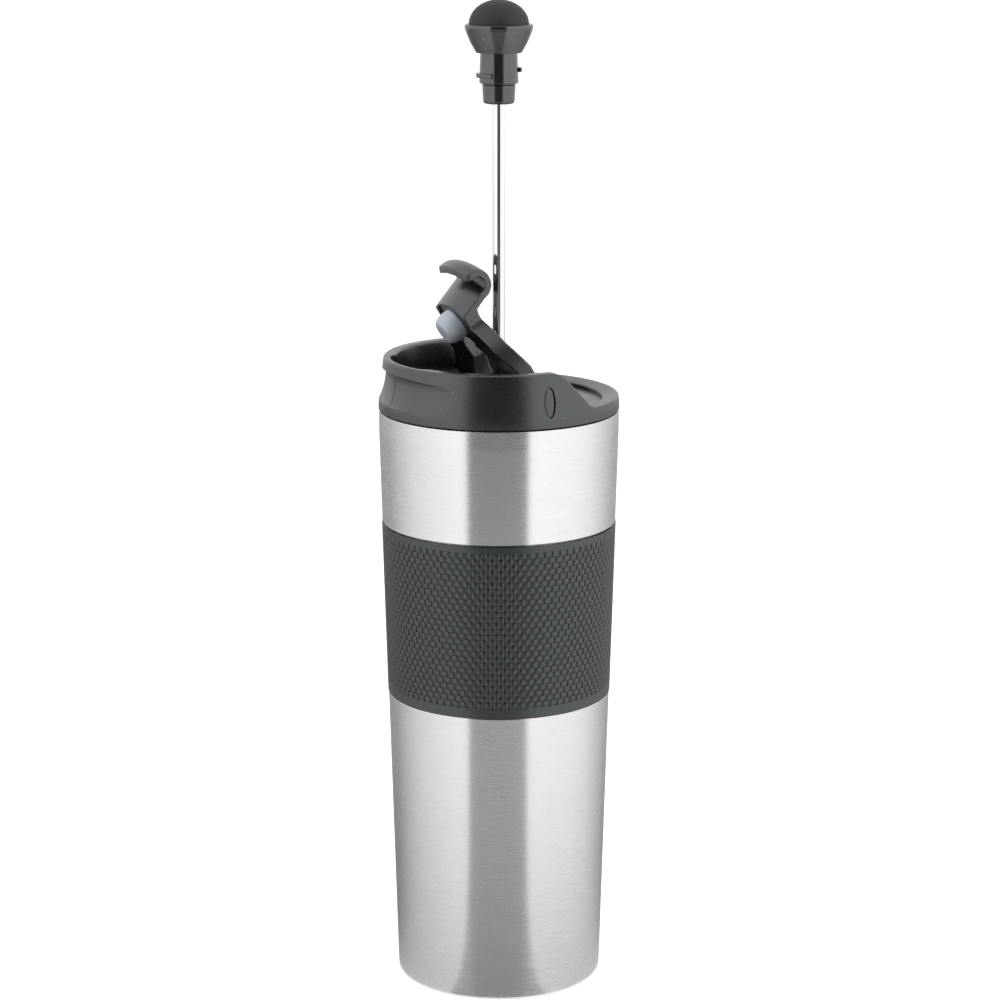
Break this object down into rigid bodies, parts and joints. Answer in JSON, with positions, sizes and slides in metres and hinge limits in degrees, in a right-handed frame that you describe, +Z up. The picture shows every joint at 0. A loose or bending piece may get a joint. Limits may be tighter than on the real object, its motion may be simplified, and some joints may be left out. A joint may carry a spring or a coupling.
{
  "type": "insulated french press",
  "caption": "Double-walled steel travel cup with a rubber grip band, a screw lid with flip lever and stopper, and a plunger whose knob locks into the lid above a mesh filter.",
  "frame": {"origin": "middle of the foot on the table", "axes": "+Z up along the cup's axis, the drinking side faces -Y"},
  "size_m": [0.0762, 0.0762, 0.3147],
  "materials": {
    "brushed_shell": "brushed round the cup",
    "liner_steel": "satin",
    "polished_steel": "polished",
    "charcoal_plastic": "fine matte",
    "gloss_black": "gloss",
    "soft_touch": "soft matte",
    "grip_rubber": "matte, woven relief",
    "black_rubber": "matte",
    "pale_silicone": "satin"
  },
  "bodies": {
    "cup": {"outer_shell": "brushed_shell", "inner_liner": "liner_steel", "base_plate": "liner_steel", "foot_pad": "black_rubber", "grip_band": "grip_rubber"},
    "lid_gasket": {"lid_seal": "pale_silicone"},
    "lid": {"lid_collar": "charcoal_plastic", "lid_deck": "charcoal_plastic", "seal_cap": "charcoal_plastic", "hinge_pin_right": "charcoal_plastic", "hinge_pin_left": "charcoal_plastic"},
    "lever": {"flip_lever": "charcoal_plastic", "stopper": "pale_silicone"},
    "rod_gland": {"rod_seal": "pale_silicone"},
    "plunger": {"knob_dome": "soft_touch", "knob_body": "gloss_black", "knob_ferrule": "gloss_black", "plunger_rod": "polished_steel", "filter_top_disc": "polished_steel", "filter_spring": "polished_steel", "filter_mesh": "liner_steel", "filter_base_disc": "polished_steel", "hub_nut": "polished_steel"}
  },
  "joints": [
    {"name": "lid_lift", "type": "slide", "parent": "cup", "child": "lid_gasket", "axis": [0, 0, 1], "range_m": [0, 0.19]},
    {"name": "lid_unscrew", "type": "hinge", "parent": "lid_gasket", "child": "lid", "pos_m": [0, 0, 0.1871], "axis": [0, 0, 1], "range_deg": [0, 360]},
    {"name": "lever_flip", "type": "hinge", "parent": "lid", "child": "lever", "pos_m": [0, 0.0005, 0.195], "axis": [1, 0, 0], "range_deg": [0, 57.5]},
    {"name": "plunger_twist", "type": "hinge", "parent": "lid", "child": "rod_gland", "pos_m": [0, 0, 0.1871], "axis": [0, 0, 1], "range_deg": [-40, 0]},
    {"name": "plunger_slide", "type": "slide", "parent": "rod_gland", "child": "plunger", "axis": [0, 0, 1], "range_m": [-0.105, 0.037]}
  ]
}
